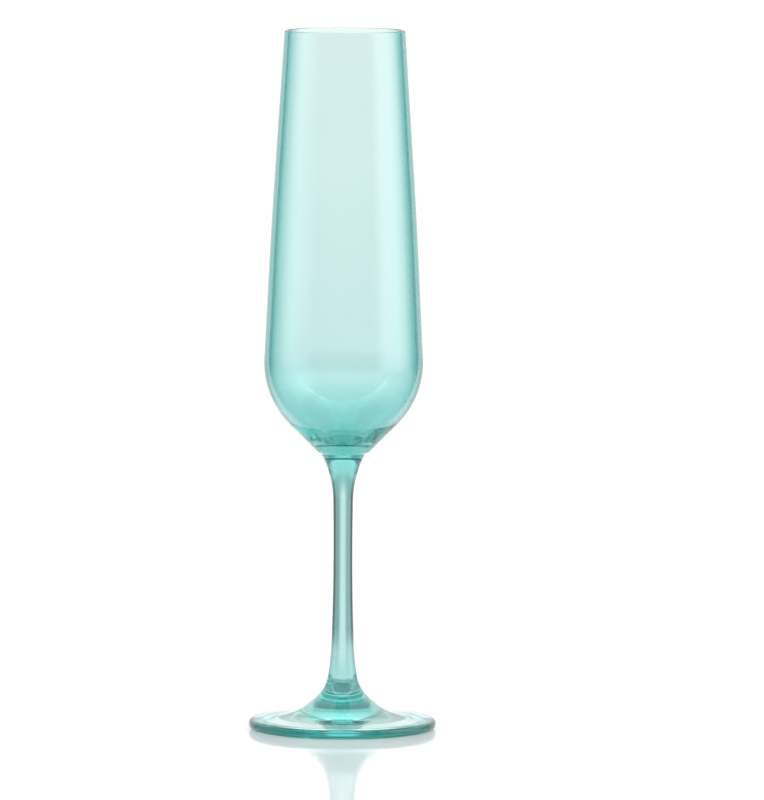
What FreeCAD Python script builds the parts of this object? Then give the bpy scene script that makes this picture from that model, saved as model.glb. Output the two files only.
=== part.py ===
import FreeCAD, Part
import math
import os

import Sketcher

# A stemmed champagne flute: a tall tapered bowl, a solid stem and a round foot, three pieces of
# glass that are made apart and joined hot, face to face.  Every piece is turned about +Z.
# The origin is the centre of the foot, on the plane that the foot stands on.

SHEET = "Dimensions"

# Driving dimensions in millimetres.  A name that ends in _r is a radius from the turning axis,
# one that ends in _z is a height above the table, and one that ends in _round is the radius of
# the arc that rounds a corner.  A corner is where two straight stretches of an outline would meet.
DIMENSIONS = {
    # bowl, outside, from the stem up to the rim
    "neck_r": 7.35,
    "neck_z": 92.9,
    "knee_r": 8.7,
    "knee_z": 93.5,
    "knee_round": 1.6,
    "belly_r": 27.3,
    "belly_z": 112.15,
    "belly_round": 29.5,
    "wall_r": 24.3,
    "wall_z": 172.0,
    "wall_round": 2000.0,
    "rim_r": 20.2,
    "rim_z": 235.0,
    "rim_round": 0.5,
    # bowl, inside, from the rim down to its floor
    "mouth_r": 19.1,
    "inner_wall_r": 23.0,
    "inner_belly_r": 25.95,
    "inner_belly_z": 111.8,
    "inner_belly_round": 27.5,
    "floor_r": 8.2,
    "floor_z": 97.4,
    "floor_round": 2.5,
    # stem, from the neck down to the foot
    "flare_r": 3.4,
    "flare_z": 84.9,
    "flare_round": 35.0,
    "waist_r": 3.05,
    "waist_z": 51.7,
    "waist_round": 850.0,
    "taper_r": 3.9,
    "taper_z": 24.0,
    "taper_round": 80.0,
    "joint_r": 4.95,
    "joint_z": 17.4,
    # foot, its root under the stem, its top, its edge and its hollow underside
    "root_r": 6.25,
    "root_z": 12.9,
    "root_round": 12.0,
    "skirt_r": 15.3,
    "skirt_z": 5.1,
    "skirt_round": 14.0,
    "edge_r": 31.5,
    "edge_z": 3.35,
    "edge_round": 1.6,
    "ring_r": 26.2,
    "hollow_r": 22.0,
    "hollow_z": 1.2,
    "hollow_round": 10.0,
}

# Words that stand for a coordinate of zero, and the sketch axis that such a corner lies on.
AXIS = "axis"
TABLE = "table"
SKETCH_X_AXIS = -1
SKETCH_Y_AXIS = -2

# Each outline is a closed loop of corners, anticlockwise, in the half plane of radius and height.
# A corner names its radius, its height and, where it is rounded, its arc.
BOWL = (
    (AXIS, "neck_z"),
    ("neck_r", "neck_z"),
    ("knee_r", "knee_z", "knee_round"),
    ("belly_r", "belly_z", "belly_round"),
    ("wall_r", "wall_z", "wall_round"),
    ("rim_r", "rim_z", "rim_round"),
    ("mouth_r", "rim_z", "rim_round"),
    ("inner_wall_r", "wall_z", "wall_round"),
    ("inner_belly_r", "inner_belly_z", "inner_belly_round"),
    ("floor_r", "floor_z", "floor_round"),
    (AXIS, "floor_z"),
)
STEM = (
    (AXIS, "joint_z"),
    ("joint_r", "joint_z"),
    ("taper_r", "taper_z", "taper_round"),
    ("waist_r", "waist_z", "waist_round"),
    ("flare_r", "flare_z", "flare_round"),
    ("neck_r", "neck_z"),
    (AXIS, "neck_z"),
)
FOOT = (
    (AXIS, "hollow_z"),
    ("hollow_r", "hollow_z", "hollow_round"),
    ("ring_r", TABLE),
    ("edge_r", TABLE, "edge_round"),
    ("edge_r", "edge_z", "edge_round"),
    ("skirt_r", "skirt_z", "skirt_round"),
    ("root_r", "root_z", "root_round"),
    ("joint_r", "joint_z"),
    (AXIS, "joint_z"),
)
PIECES = {"bowl": BOWL, "stem": STEM, "foot": FOOT}

START = 1
END = 2
VOLUME_TOLERANCE = 1e-3


def make_sheet(doc):
    """The spreadsheet that holds every driving dimension, one row each."""
    sheet = doc.addObject("Spreadsheet::Sheet", SHEET)
    for row, (name, value) in enumerate(DIMENSIONS.items(), start=1):
        sheet.set(f"A{row}", name)
        sheet.set(f"B{row}", str(value))
        sheet.setAlias(f"B{row}", name)
    doc.recompute()
    return sheet


def size(name):
    """The number behind a corner's word."""
    return 0.0 if name in (AXIS, TABLE) else DIMENSIONS[name]


class Corner:
    """One corner of an outline, with where its arc starts and ends, worked out from its neighbours."""

    def __init__(self, words, before, after):
        self.words = words
        self.point = corner_point(words)
        self.start = self.point
        self.end = self.point
        self.rounded = len(words) == 3
        if self.rounded:
            self.add_arc(before, after)

    def add_arc(self, before, after):
        self.radius = size(self.words[2])
        back = (before - self.point).normalize()
        ahead = (after - self.point).normalize()
        half_angle = back.getAngle(ahead) / 2
        trim = self.radius / math.tan(half_angle)
        self.start = self.point + back * trim
        self.end = self.point + ahead * trim
        towards_centre = (back + ahead).normalize()
        self.centre = self.point + towards_centre * (self.radius / math.sin(half_angle))
        self.turns_left = back.cross(ahead).z < 0

    def arc(self):
        """The arc, which a sketch always draws anticlockwise."""
        first, last = (self.start, self.end) if self.turns_left else (self.end, self.start)
        circle = Part.Circle(self.centre, FreeCAD.Vector(0, 0, 1), self.radius)
        return Part.ArcOfCircle(circle, circle.parameter(first), circle.parameter(last))


def corner_point(words):
    """A corner's place in the sketch: radius across, height up."""
    return FreeCAD.Vector(size(words[0]), size(words[1]), 0)


def outline_corners(outline):
    """The corners of a closed outline, each knowing its two neighbours."""
    points = [corner_point(words) for words in outline]
    count = len(outline)
    corners = []
    for index, words in enumerate(outline):
        corners.append(Corner(words, points[index - 1], points[(index + 1) % count]))
    return corners


def bind(sketch, constraint, name):
    """Add a dimension to the sketch and tie it to its cell."""
    index = sketch.addConstraint(constraint)
    sketch.setExpression(f"Constraints[{index}]", f"{SHEET}.{name}")


def place(sketch, element, position, words):
    """Fix one point of a sketch element at a corner's radius and height."""
    origin = (SKETCH_X_AXIS, START)
    radius_word, height_word = words[:2]
    if radius_word == AXIS:
        sketch.addConstraint(Sketcher.Constraint("PointOnObject", element, position, SKETCH_Y_AXIS))
    else:
        across = Sketcher.Constraint("DistanceX", *origin, element, position, size(radius_word))
        bind(sketch, across, radius_word)
    if height_word == TABLE:
        sketch.addConstraint(Sketcher.Constraint("PointOnObject", element, position, SKETCH_X_AXIS))
    else:
        up = Sketcher.Constraint("DistanceY", *origin, element, position, size(height_word))
        bind(sketch, up, height_word)


def join_sharp(sketch, corner, line_in, line_out):
    """Two straight edges that meet at a corner."""
    sketch.addConstraint(Sketcher.Constraint("Coincident", line_in, END, line_out, START))
    place(sketch, line_out, START, corner.words)


def join_rounded(sketch, corner, line_in, line_out):
    """Two straight edges with an arc between them, tangent to both, and the corner kept as a point."""
    arc = sketch.addGeometry(corner.arc(), False)
    arc_in, arc_out = (START, END) if corner.turns_left else (END, START)
    sketch.addConstraint(Sketcher.Constraint("Tangent", line_in, END, arc, arc_in))
    sketch.addConstraint(Sketcher.Constraint("Tangent", line_out, START, arc, arc_out))
    bind(sketch, Sketcher.Constraint("Radius", arc, corner.radius), corner.words[2])
    point = sketch.addGeometry(Part.Point(corner.point), True)
    sketch.addConstraint(Sketcher.Constraint("PointOnObject", point, START, line_in))
    sketch.addConstraint(Sketcher.Constraint("PointOnObject", point, START, line_out))
    place(sketch, point, START, corner.words)


def draw_outline(sketch, outline):
    """Draw and constrain a closed outline."""
    corners = outline_corners(outline)
    lines = []
    for corner, following in zip(corners, corners[1:] + corners[:1]):
        lines.append(sketch.addGeometry(Part.LineSegment(corner.end, following.start), False))
    for index, corner in enumerate(corners):
        join = join_rounded if corner.rounded else join_sharp
        join(sketch, corner, lines[index - 1], lines[index])


def origin_plane(body, role):
    """One of the body's own origin planes."""
    return next(feature for feature in body.Origin.OriginFeatures if feature.Role == role)


def turned_piece(doc, name, outline):
    """A body whose outline is drawn on its XZ plane and turned once round the Z axis."""
    body = doc.addObject("PartDesign::Body", name)
    body.Label = name
    body.Placement = FreeCAD.Placement()
    sketch = body.newObject("Sketcher::SketchObject", f"{name}_outline")
    sketch.AttachmentSupport = [(origin_plane(body, "XZ_Plane"), "")]
    sketch.MapMode = "FlatFace"
    draw_outline(sketch, outline)
    turning = body.newObject("PartDesign::Revolution", f"{name}_turning")
    turning.Profile = sketch
    turning.ReferenceAxis = (sketch, ["V_Axis"])
    turning.Angle = 360
    body.Tip = turning
    return body


def expected_volume(sketch):
    """Volume by Pappus's rule: the outline's area times the path of its centroid."""
    face = Part.Face(Part.Wire(Part.__sortEdges__(sketch.Shape.Edges)))
    return face.Area * 2 * math.pi * abs(face.CenterOfMass.x)


def check(doc, bodies):
    """Stop if anything failed, or if a piece isn't the one closed solid that its outline makes."""
    for item in doc.Objects:
        if "Invalid" in item.State or "Error" in item.State:
            raise RuntimeError(f"{item.Label} failed: {item.State}")
    for body in bodies:
        shape = body.Shape
        if shape.isNull() or not shape.isValid() or len(shape.Solids) != 1:
            raise RuntimeError(f"{body.Label} isn't one valid solid")
        sketch = doc.getObject(f"{body.Label}_outline")
        if sketch.solve() != 0:
            raise RuntimeError(f"{sketch.Label} can't be solved")
        expected = expected_volume(sketch)
        if abs(shape.Volume - expected) > VOLUME_TOLERANCE * expected:
            raise RuntimeError(f"{body.Label} has volume {shape.Volume:.1f}, not {expected:.1f}")


def report(bodies):
    """Print each piece's box and volume."""
    for body in bodies:
        box = body.Shape.optimalBoundingBox()
        corners = f"r {box.XMax:.2f}, z {box.ZMin:.2f} to {box.ZMax:.2f}"
        print(f"{body.Label}: {corners} mm, {body.Shape.Volume / 1000:.2f} ml of glass")


def main():
    doc = FreeCAD.newDocument("champagne_flute")
    make_sheet(doc)
    bodies = [turned_piece(doc, name, outline) for name, outline in PIECES.items()]
    doc.recompute()
    check(doc, bodies)
    report(bodies)
    os.makedirs("parts", exist_ok=True)
    for body in bodies:
        body.Shape.exportStep(f"parts/{body.Label}.step")


main()
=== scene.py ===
import math

import bpy
import numpy as np
from mathutils import Matrix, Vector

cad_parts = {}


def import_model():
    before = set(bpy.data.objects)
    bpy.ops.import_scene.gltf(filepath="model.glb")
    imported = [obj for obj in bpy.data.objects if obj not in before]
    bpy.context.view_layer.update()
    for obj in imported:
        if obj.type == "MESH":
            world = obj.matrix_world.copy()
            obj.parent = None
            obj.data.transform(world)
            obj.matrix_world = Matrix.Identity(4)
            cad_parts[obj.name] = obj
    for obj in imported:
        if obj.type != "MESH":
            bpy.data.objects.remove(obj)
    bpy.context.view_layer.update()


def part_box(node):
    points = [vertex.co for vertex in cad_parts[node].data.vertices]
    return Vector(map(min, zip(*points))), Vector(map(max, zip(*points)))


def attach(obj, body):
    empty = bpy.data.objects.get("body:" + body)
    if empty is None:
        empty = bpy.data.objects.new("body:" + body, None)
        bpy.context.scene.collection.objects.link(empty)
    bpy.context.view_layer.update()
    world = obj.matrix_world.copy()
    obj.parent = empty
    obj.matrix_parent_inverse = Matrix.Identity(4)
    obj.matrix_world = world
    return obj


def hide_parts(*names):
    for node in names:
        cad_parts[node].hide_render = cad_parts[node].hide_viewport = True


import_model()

# The flute's sizes, in metres.  Every piece is turned about Z, and stands where its CAD node does.
MM = 0.001
RIM_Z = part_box("bowl")[1][2]
NECK_R, _, NECK_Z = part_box("stem")[1]
FOOT_R, _, JOINT_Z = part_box("foot")[1]
JOINT_R = 4.95 * MM
# The stem stops this far short of its neighbours, so that no two pieces have a face in one place.
JOINT_GAP = 0.01 * MM

# Corners of each outline: radius, height and the radius of the arc that rounds the corner.
BOWL = (
    (0, NECK_Z, 0),
    (NECK_R, NECK_Z, 0),
    (8.7 * MM, 93.5 * MM, 1.6 * MM),
    (27.3 * MM, 112.15 * MM, 29.5 * MM),
    (24.3 * MM, 172.0 * MM, 2000 * MM),
    (20.2 * MM, RIM_Z, 0.5 * MM),
    (19.1 * MM, RIM_Z, 0.5 * MM),
    (23.0 * MM, 172.0 * MM, 2000 * MM),
    (25.95 * MM, 111.8 * MM, 27.5 * MM),
    (8.2 * MM, 97.4 * MM, 2.5 * MM),
    (0, 97.4 * MM, 0),
)
STEM = (
    (0, JOINT_Z + JOINT_GAP, 0),
    (JOINT_R, JOINT_Z + JOINT_GAP, 0),
    (3.9 * MM, 24.0 * MM, 80 * MM),
    (3.05 * MM, 51.7 * MM, 850 * MM),
    (3.4 * MM, 84.9 * MM, 35 * MM),
    (NECK_R, NECK_Z - JOINT_GAP, 0),
    (0, NECK_Z - JOINT_GAP, 0),
)
FOOT = (
    (0, 1.2 * MM, 0),
    (22.0 * MM, 1.2 * MM, 10 * MM),
    (26.2 * MM, 0, 0),
    (FOOT_R, 0, 1.6 * MM),
    (FOOT_R, 3.35 * MM, 1.6 * MM),
    (15.3 * MM, 5.1 * MM, 14 * MM),
    (6.25 * MM, 12.9 * MM, 12 * MM),
    (JOINT_R, JOINT_Z, 0),
    (0, JOINT_Z, 0),
)
SEGMENTS = 192
ARC_STEP = math.radians(2.5)
ARC_LEAST_STEPS = 6
TINY = 1e-7

# Glass: what a millimetre of it takes from red, green and blue light.  This share of that is lost
# in the mass of the glass.  Its surface has the same tint, as deep as the stops below say.
GLASS_IOR = 1.52
TINT_PER_MM = (0.160, 0.050, 0.055)
MASS_SHARE = 0.36
# Light bounces many times inside thick glass before it leaves.
GLASS_BOUNCES = 32
# Blown glass isn't quite even.  This is how wide its ripples are, how high they are, and how much
# the colour of its surface wanders.
RIPPLE_MM = 22
RIPPLE_HEIGHT_MM = 0.012
TINT_WANDER = 0.12

# How deep the colour of the surface is, as millimetres of glass, in stops of
# (height in millimetres, depth) and of (how far the surface turns away, depth).  Both are added.
BOWL_LEVELS = (
    (93, 5.1), (100, 4.9), (108, 3.9), (116, 2.0), (130, 1.15), (160, 0.9), (200, 0.78),
    (235, 0.72),
)
BOWL_EDGES = (
    (0, 0), (0.15, 0), (0.3, 0.6), (0.375, 1.1), (0.44, 1.8), (0.545, 4.2), (0.66, 11), (0.76, 26),
    (1, 60),
)
STEM_LEVELS = ((17, 2.2), (24, 1.5), (78, 1.5), (86, 4.5), (93, 4.5))
STEM_EDGES = ((0, 0), (0.02, 0), (0.08, 2.4), (1, 2.4))
FOOT_LEVELS = ((0, 0.4), (6, 0.4), (12, 1.2), (17, 1.2))
# Painted shade on the stem, by how far its surface turns away: dark edges around a bright core.
STEM_PAINTED_SHADE = (
    (0, 1.0), (0.02, 0.97), (0.046, 0.66), (0.08, 0.54), (0.134, 0.55), (0.2, 0.6), (0.29, 0.6),
    (0.4, 0.2), (0.525, 0.1), (0.7, 0.1), (1, 0.3),
)
# How much of the deeper colour at the edges there is, and on the stem how much of the painted
# shade, in stops of (height in millimetres, share).  It is less where a piece closes or widens.
BOWL_SHARE = ((93, 0), (104, 0), (122, 1), (235, 1))
STEM_EDGE_AND_PAINTED_SHADE_SHARE = ((17, 0.1), (25, 0.35), (34, 1), (78, 1), (87, 0.5), (93, 0.5))

# Screens and strip light all round, as (azimuth in degrees, level) stops.  Azimuth 0 is behind the
# flute, 90 to its right and 180 at the camera.
AROUND = (
    (-180, 0.25), (-116, 0.25), (-97, 0.78), (-83, 0.78), (-66, 0.65), (-46, 0.6), (-32, 0.95),
    (0, 1.05), (32, 0.95), (46, 0.6), (60, 0.55), (78, 1.3), (90, 1.8), (112, 1.6), (136, 0.25),
    (180, 0.25),
)
# How much of them there is, and the light above and below, as (elevation in degrees, level) stops.
SHARE = ((-90, 0), (-12, 0), (-8, 1), (35, 1), (45, 0), (90, 0))
ABOVE = (
    (-90, 1.0), (-12, 1.0), (-8, 0), (8, 0), (18, 0.5), (32, 0.8), (48, 1.0), (66, 1.2), (90, 1.2),
)
# A narrow bar of light overhead, nearer the camera than the flute is.  Its stops are of
# (distance to either side, level) and (distance behind the flute, level), each divided by height.
BAR_SIDE = ((0, 3.5), (2.2, 3.5), (2.5, 0), (8, 0))
BAR_DEPTH = ((-8, 0), (-0.42, 0), (-0.39, 1), (-0.27, 1), (-0.24, 0), (8, 0))
# The height, in a direction of length 1, at which the bar is cut off.
BAR_LOWEST = 0.3

# The table, which lies a hair under the foot.  It fades away from this share of its radius, and
# glows a little so that it shows nearly white.
FLOOR_R = 0.3
FLOOR_Z = -0.02 * MM
FLOOR_SIDES = 96
FLOOR_FADE = 0.6
FLOOR_COLOR = (0.55, 0.55, 0.56, 1)
FLOOR_ROUGHNESS = 0.08
FLOOR_GLOW = 0.16

# Camera, at the height and distance from which the rim shows as a thin ellipse.  Its roll makes
# the flute lean a little to the right.
CAMERA_DISTANCE = 2.936
CAMERA_HEIGHT = 0.3735
CAMERA_SIDE = 0.0129
AIM_HEIGHT = 0.111
LENS_MM = 395.5
SENSOR_MM = 36.0
ROLL = math.radians(0.25)


def unit(vector):
    return vector / np.linalg.norm(vector)


def outward(direction):
    """The outward normal of a stretch that runs in this direction, with the glass on its left."""
    return np.array((direction[1], -direction[0]))


def corner_points(before, corner, after, radius):
    """Points round one corner, each with the normals of the stretches that end and start there."""
    back = unit(before - corner)
    ahead = unit(after - corner)
    if radius == 0:
        return [(corner, outward(-back), outward(ahead))]
    half = math.acos(float(back @ ahead)) / 2
    centre = corner + unit(back + ahead) * (radius / math.sin(half))
    start = corner + back * (radius / math.tan(half)) - centre
    turn = math.pi - 2 * half
    if back[0] * ahead[1] - back[1] * ahead[0] > 0:
        turn = -turn
    side = math.copysign(1, turn)
    steps = max(ARC_LEAST_STEPS, math.ceil(abs(turn) / ARC_STEP))
    points = []
    for step in range(steps + 1):
        c, s = math.cos(turn * step / steps), math.sin(turn * step / steps)
        spoke = np.array((start[0] * c - start[1] * s, start[0] * s + start[1] * c))
        normal = unit(spoke) * side
        points.append((centre + spoke, normal, normal))
    return points


def outline_points(corners):
    """The outline as a loop of points with their normals, its corners rounded."""
    places = [np.array(corner[:2]) for corner in corners]
    points = []
    for index, corner in enumerate(corners):
        after = places[(index + 1) % len(corners)]
        points += corner_points(places[index - 1], places[index], after, corner[2])
    return points


def lathe(name, corners, joints):
    """A closed mesh turned about Z, with its own normals.

    joints are the heights of the flat faces that fuse to another piece.  The mesh's attribute
    "fused" is 1 on those faces and 0 on the rest.
    """
    points = outline_points(corners)
    verts = []
    rings = []
    for (r, z), _, _ in points:
        if r < TINY:
            rings.append([len(verts)] * SEGMENTS)
            verts.append((0.0, 0.0, z))
            continue
        rings.append(list(range(len(verts), len(verts) + SEGMENTS)))
        for k in range(SEGMENTS):
            a = 2 * math.pi * k / SEGMENTS
            verts.append((r * math.cos(a), r * math.sin(a), z))
    faces = []
    fused = []
    normals = []
    stretches = zip(rings, rings[1:], points, points[1:])
    for low, high, (start, _, low_normal), (end, high_normal, _) in stretches:
        joint = start[1] == end[1] and any(abs(start[1] - z) < TINY for z in joints)
        for k in range(SEGMENTS):
            j = (k + 1) % SEGMENTS
            # A face beside the axis has three corners: two of its four are the same vertex.
            loops = {}
            for vertex, step, normal in (
                (low[k], k, low_normal),
                (low[j], j, low_normal),
                (high[j], j, high_normal),
                (high[k], k, high_normal),
            ):
                a = 2 * math.pi * step / SEGMENTS
                turned = (normal[0] * math.cos(a), normal[0] * math.sin(a), normal[1])
                loops.setdefault(vertex, turned)
            faces.append(tuple(loops))
            normals += loops.values()
            fused.append(float(joint))
    mesh = bpy.data.meshes.new(name)
    mesh.from_pydata(verts, [], faces)
    mesh.update()
    mesh.polygons.foreach_set("use_smooth", [True] * len(faces))
    mesh.normals_split_custom_set(normals)
    mark = mesh.attributes.new("fused", "FLOAT", "FACE")
    mark.data.foreach_set("value", fused)
    ob = bpy.data.objects.new(name, mesh)
    bpy.context.scene.collection.objects.link(ob)
    return ob


def math_node(tree, operation, *values):
    node = tree.nodes.new("ShaderNodeMath")
    node.operation = operation
    for socket, value in zip(node.inputs, values):
        if isinstance(value, (int, float)):
            socket.default_value = value
        else:
            tree.links.new(value, socket)
    return node.outputs["Value"]


def lookup(tree, value, stops):
    """The level at value, read smoothly from (place, level) stops."""
    low, high = stops[0][0], stops[-1][0]
    most = max(level for _, level in stops)
    place = tree.nodes.new("ShaderNodeMapRange")
    place.inputs["From Min"].default_value = low
    place.inputs["From Max"].default_value = high
    tree.links.new(value, place.inputs["Value"])
    ramp = tree.nodes.new("ShaderNodeValToRGB")
    ramp.color_ramp.interpolation = "EASE"
    elements = ramp.color_ramp.elements
    for index, (spot, level) in enumerate(stops):
        position = (spot - low) / (high - low)
        ends = {0: elements[0], len(stops) - 1: elements[-1]}
        element = ends[index] if index in ends else elements.new(position)
        element.position = position
        element.color = (level / most,) * 3 + (1,)
    tree.links.new(place.outputs["Result"], ramp.inputs["Fac"])
    return math_node(tree, "MULTIPLY", ramp.outputs["Color"], most)


def aqua_glass(name, levels, edges=(), painted_shade=(), edges_and_painted_shade_share=()):
    """Tinted glass, which doesn't bend light at its fused faces.

    levels and edges are the depth of its surface's colour, by height and by how far the surface
    turns away.  The fourth argument is painted shade: the share of the colour kept, by how far the
    surface turns away, so the edges are painted dark around a bright core.  The fifth is how much
    of the edges and of the painted shade there is, by height.
    """
    mat = bpy.data.materials.new(name)
    mat.use_nodes = True
    nt = mat.node_tree
    shader = nt.nodes["Principled BSDF"]
    out = nt.nodes["Material Output"]
    shader.inputs["Roughness"].default_value = 0.0
    shader.inputs["Transmission Weight"].default_value = 1.0
    fused = nt.nodes.new("ShaderNodeAttribute")
    fused.attribute_name = "fused"
    ior = nt.nodes.new("ShaderNodeMapRange")
    ior.inputs["To Min"].default_value = GLASS_IOR
    ior.inputs["To Max"].default_value = 1.0
    nt.links.new(fused.outputs["Fac"], ior.inputs["Value"])
    nt.links.new(ior.outputs["Result"], shader.inputs["IOR"])
    facing = nt.nodes.new("ShaderNodeLayerWeight")
    place = nt.nodes.new("ShaderNodeTexCoord")
    split = nt.nodes.new("ShaderNodeSeparateXYZ")
    nt.links.new(place.outputs["Object"], split.inputs["Vector"])
    height = math_node(nt, "DIVIDE", split.outputs["Z"], MM)
    ripple = nt.nodes.new("ShaderNodeTexNoise")
    ripple.inputs["Scale"].default_value = 1 / (RIPPLE_MM * MM)
    ripple.inputs["Detail"].default_value = 1.0
    nt.links.new(place.outputs["Object"], ripple.inputs["Vector"])
    bump = nt.nodes.new("ShaderNodeBump")
    bump.inputs["Strength"].default_value = 1.0
    bump.inputs["Distance"].default_value = RIPPLE_HEIGHT_MM * MM
    nt.links.new(ripple.outputs["Fac"], bump.inputs["Height"])
    nt.links.new(bump.outputs["Normal"], shader.inputs["Normal"])

    # The surface's colour is what one millimetre passes, to the power of its depth in millimetres.
    # The depth is 0 at the fused faces.
    wander = math_node(nt, "MULTIPLY_ADD", ripple.outputs["Fac"], 2 * TINT_WANDER, 1 - TINT_WANDER)
    solid = math_node(nt, "SUBTRACT", 1.0, fused.outputs["Fac"])
    depth = math_node(nt, "MULTIPLY", lookup(nt, height, levels), wander)
    depth = math_node(nt, "MULTIPLY", depth, solid)
    # How much of the deeper edges and of the painted shade there is, by height.
    if edges_and_painted_shade_share:
        edges_and_painted_shade_part = math_node(nt, "MULTIPLY", lookup(nt, height, edges_and_painted_shade_share), solid)
    if edges:
        deeper = lookup(nt, facing.outputs["Facing"], edges)
        depth = math_node(nt, "MULTIPLY_ADD", deeper, edges_and_painted_shade_part, depth)
    tint = nt.nodes.new("ShaderNodeGamma")
    tint.inputs["Color"].default_value = (*[math.exp(-a) for a in TINT_PER_MM], 1)
    nt.links.new(depth, tint.inputs["Gamma"])
    color = tint.outputs["Color"]
    # Painted shade: the colour is darkened by how far the surface turns away, dark at the edges.
    if painted_shade:
        painted_darkening = math_node(nt, "SUBTRACT", 1.0, lookup(nt, facing.outputs["Facing"], painted_shade))
        kept_after_painted_shade = math_node(nt, "SUBTRACT", 1.0, math_node(nt, "MULTIPLY", painted_darkening, edges_and_painted_shade_part))
        shaded = nt.nodes.new("ShaderNodeVectorMath")
        shaded.operation = "SCALE"
        nt.links.new(color, shaded.inputs["Vector"])
        nt.links.new(kept_after_painted_shade, shaded.inputs["Scale"])
        color = shaded.outputs["Vector"]
    nt.links.new(color, shader.inputs["Base Color"])

    # The mass takes 1 - color of each channel, times the density: the one that loses most has 0.
    volume = nt.nodes.new("ShaderNodeVolumeAbsorption")
    most = max(TINT_PER_MM)
    volume.inputs["Color"].default_value = (*[1 - a / most for a in TINT_PER_MM], 1)
    volume.inputs["Density"].default_value = MASS_SHARE * most / MM
    nt.links.new(volume.outputs["Volume"], out.inputs["Volume"])
    return mat


def floor():
    """A round white table that fades away towards its edge, so that no edge shows."""
    points = [(0, 0, FLOOR_Z)]
    for k in range(FLOOR_SIDES):
        a = 2 * math.pi * k / FLOOR_SIDES
        points.append((FLOOR_R * math.cos(a), FLOOR_R * math.sin(a), FLOOR_Z))
    faces = [(0, 1 + k, 1 + (k + 1) % FLOOR_SIDES) for k in range(FLOOR_SIDES)]
    mesh = bpy.data.meshes.new("floor")
    mesh.from_pydata(points, [], faces)
    ob = bpy.data.objects.new("floor", mesh)
    bpy.context.scene.collection.objects.link(ob)
    mat = bpy.data.materials.new("floor")
    mat.use_nodes = True
    nt = mat.node_tree
    shader = nt.nodes["Principled BSDF"]
    shader.inputs["Base Color"].default_value = FLOOR_COLOR
    shader.inputs["Roughness"].default_value = FLOOR_ROUGHNESS
    shader.inputs["Emission Color"].default_value = (1, 1, 1, 1)
    shader.inputs["Emission Strength"].default_value = FLOOR_GLOW
    coord = nt.nodes.new("ShaderNodeTexCoord")
    length = nt.nodes.new("ShaderNodeVectorMath")
    length.operation = "LENGTH"
    nt.links.new(coord.outputs["Object"], length.inputs[0])
    fade = nt.nodes.new("ShaderNodeMapRange")
    fade.interpolation_type = "SMOOTHSTEP"
    fade.inputs["From Min"].default_value = FLOOR_FADE * FLOOR_R
    fade.inputs["From Max"].default_value = FLOOR_R
    fade.inputs["To Min"].default_value = 1
    fade.inputs["To Max"].default_value = 0
    nt.links.new(length.outputs["Value"], fade.inputs["Value"])
    nt.links.new(fade.outputs["Result"], shader.inputs["Alpha"])
    mesh.materials.append(mat)


def world():
    """A white studio: screens behind and at the left, a tall strip light at the right, and light
    overhead.
    """
    w = bpy.data.worlds.new("studio")
    w.use_nodes = True
    nt = w.node_tree
    back = nt.nodes["Background"]
    back.inputs["Color"].default_value = (1, 1, 1, 1)
    coord = nt.nodes.new("ShaderNodeTexCoord")
    split = nt.nodes.new("ShaderNodeSeparateXYZ")
    nt.links.new(coord.outputs["Generated"], split.inputs["Vector"])
    x, y, z = (split.outputs[axis] for axis in "XYZ")
    azimuth = math_node(nt, "DEGREES", math_node(nt, "ARCTAN2", x, y))
    height = math_node(nt, "DEGREES", math_node(nt, "ARCSINE", z))
    around = math_node(nt, "MULTIPLY", lookup(nt, azimuth, AROUND), lookup(nt, height, SHARE))
    total = math_node(nt, "ADD", around, lookup(nt, height, ABOVE))
    rise = math_node(nt, "MAXIMUM", z, BAR_LOWEST)
    beside = math_node(nt, "ABSOLUTE", math_node(nt, "DIVIDE", x, rise))
    deep = math_node(nt, "DIVIDE", y, rise)
    bar = math_node(nt, "MULTIPLY", lookup(nt, beside, BAR_SIDE), lookup(nt, deep, BAR_DEPTH))
    bar = math_node(nt, "MULTIPLY", bar, math_node(nt, "GREATER_THAN", z, BAR_LOWEST))
    total = math_node(nt, "ADD", total, bar)
    nt.links.new(total, back.inputs["Strength"])

    scene = bpy.context.scene
    scene.world = w
    scene.view_settings.view_transform = "Standard"
    scene.cycles.max_bounces = GLASS_BOUNCES
    scene.cycles.glossy_bounces = GLASS_BOUNCES
    scene.cycles.transmission_bounces = GLASS_BOUNCES


def camera():
    data = bpy.data.cameras.new("camera")
    data.sensor_fit = "VERTICAL"
    data.sensor_height = SENSOR_MM
    data.lens = LENS_MM
    ob = bpy.data.objects.new("camera", data)
    ob.location = (CAMERA_SIDE, -CAMERA_DISTANCE, CAMERA_HEIGHT)
    pitch = math.atan2(CAMERA_HEIGHT - AIM_HEIGHT, CAMERA_DISTANCE)
    aim = Matrix.Rotation(math.pi / 2 - pitch, 3, "X") @ Matrix.Rotation(ROLL, 3, "Z")
    ob.rotation_euler = aim.to_euler()
    bpy.context.scene.collection.objects.link(ob)
    bpy.context.scene.camera = ob


camera()
world()
floor()
for name, corners, joints, looks in (
    ("bowl", BOWL, (NECK_Z,), (BOWL_LEVELS, BOWL_EDGES, (), BOWL_SHARE)),
    (
        "stem", STEM, (NECK_Z - JOINT_GAP, JOINT_Z + JOINT_GAP),
        (STEM_LEVELS, STEM_EDGES, STEM_PAINTED_SHADE, STEM_EDGE_AND_PAINTED_SHADE_SHARE),
    ),
    ("foot", FOOT, (JOINT_Z,), (FOOT_LEVELS,)),
):
    piece = lathe(f"{name}_glass", corners, joints)
    piece.data.materials.append(aqua_glass(f"aqua_glass_{name}", *looks))
    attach(piece, "root")
    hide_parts(name)
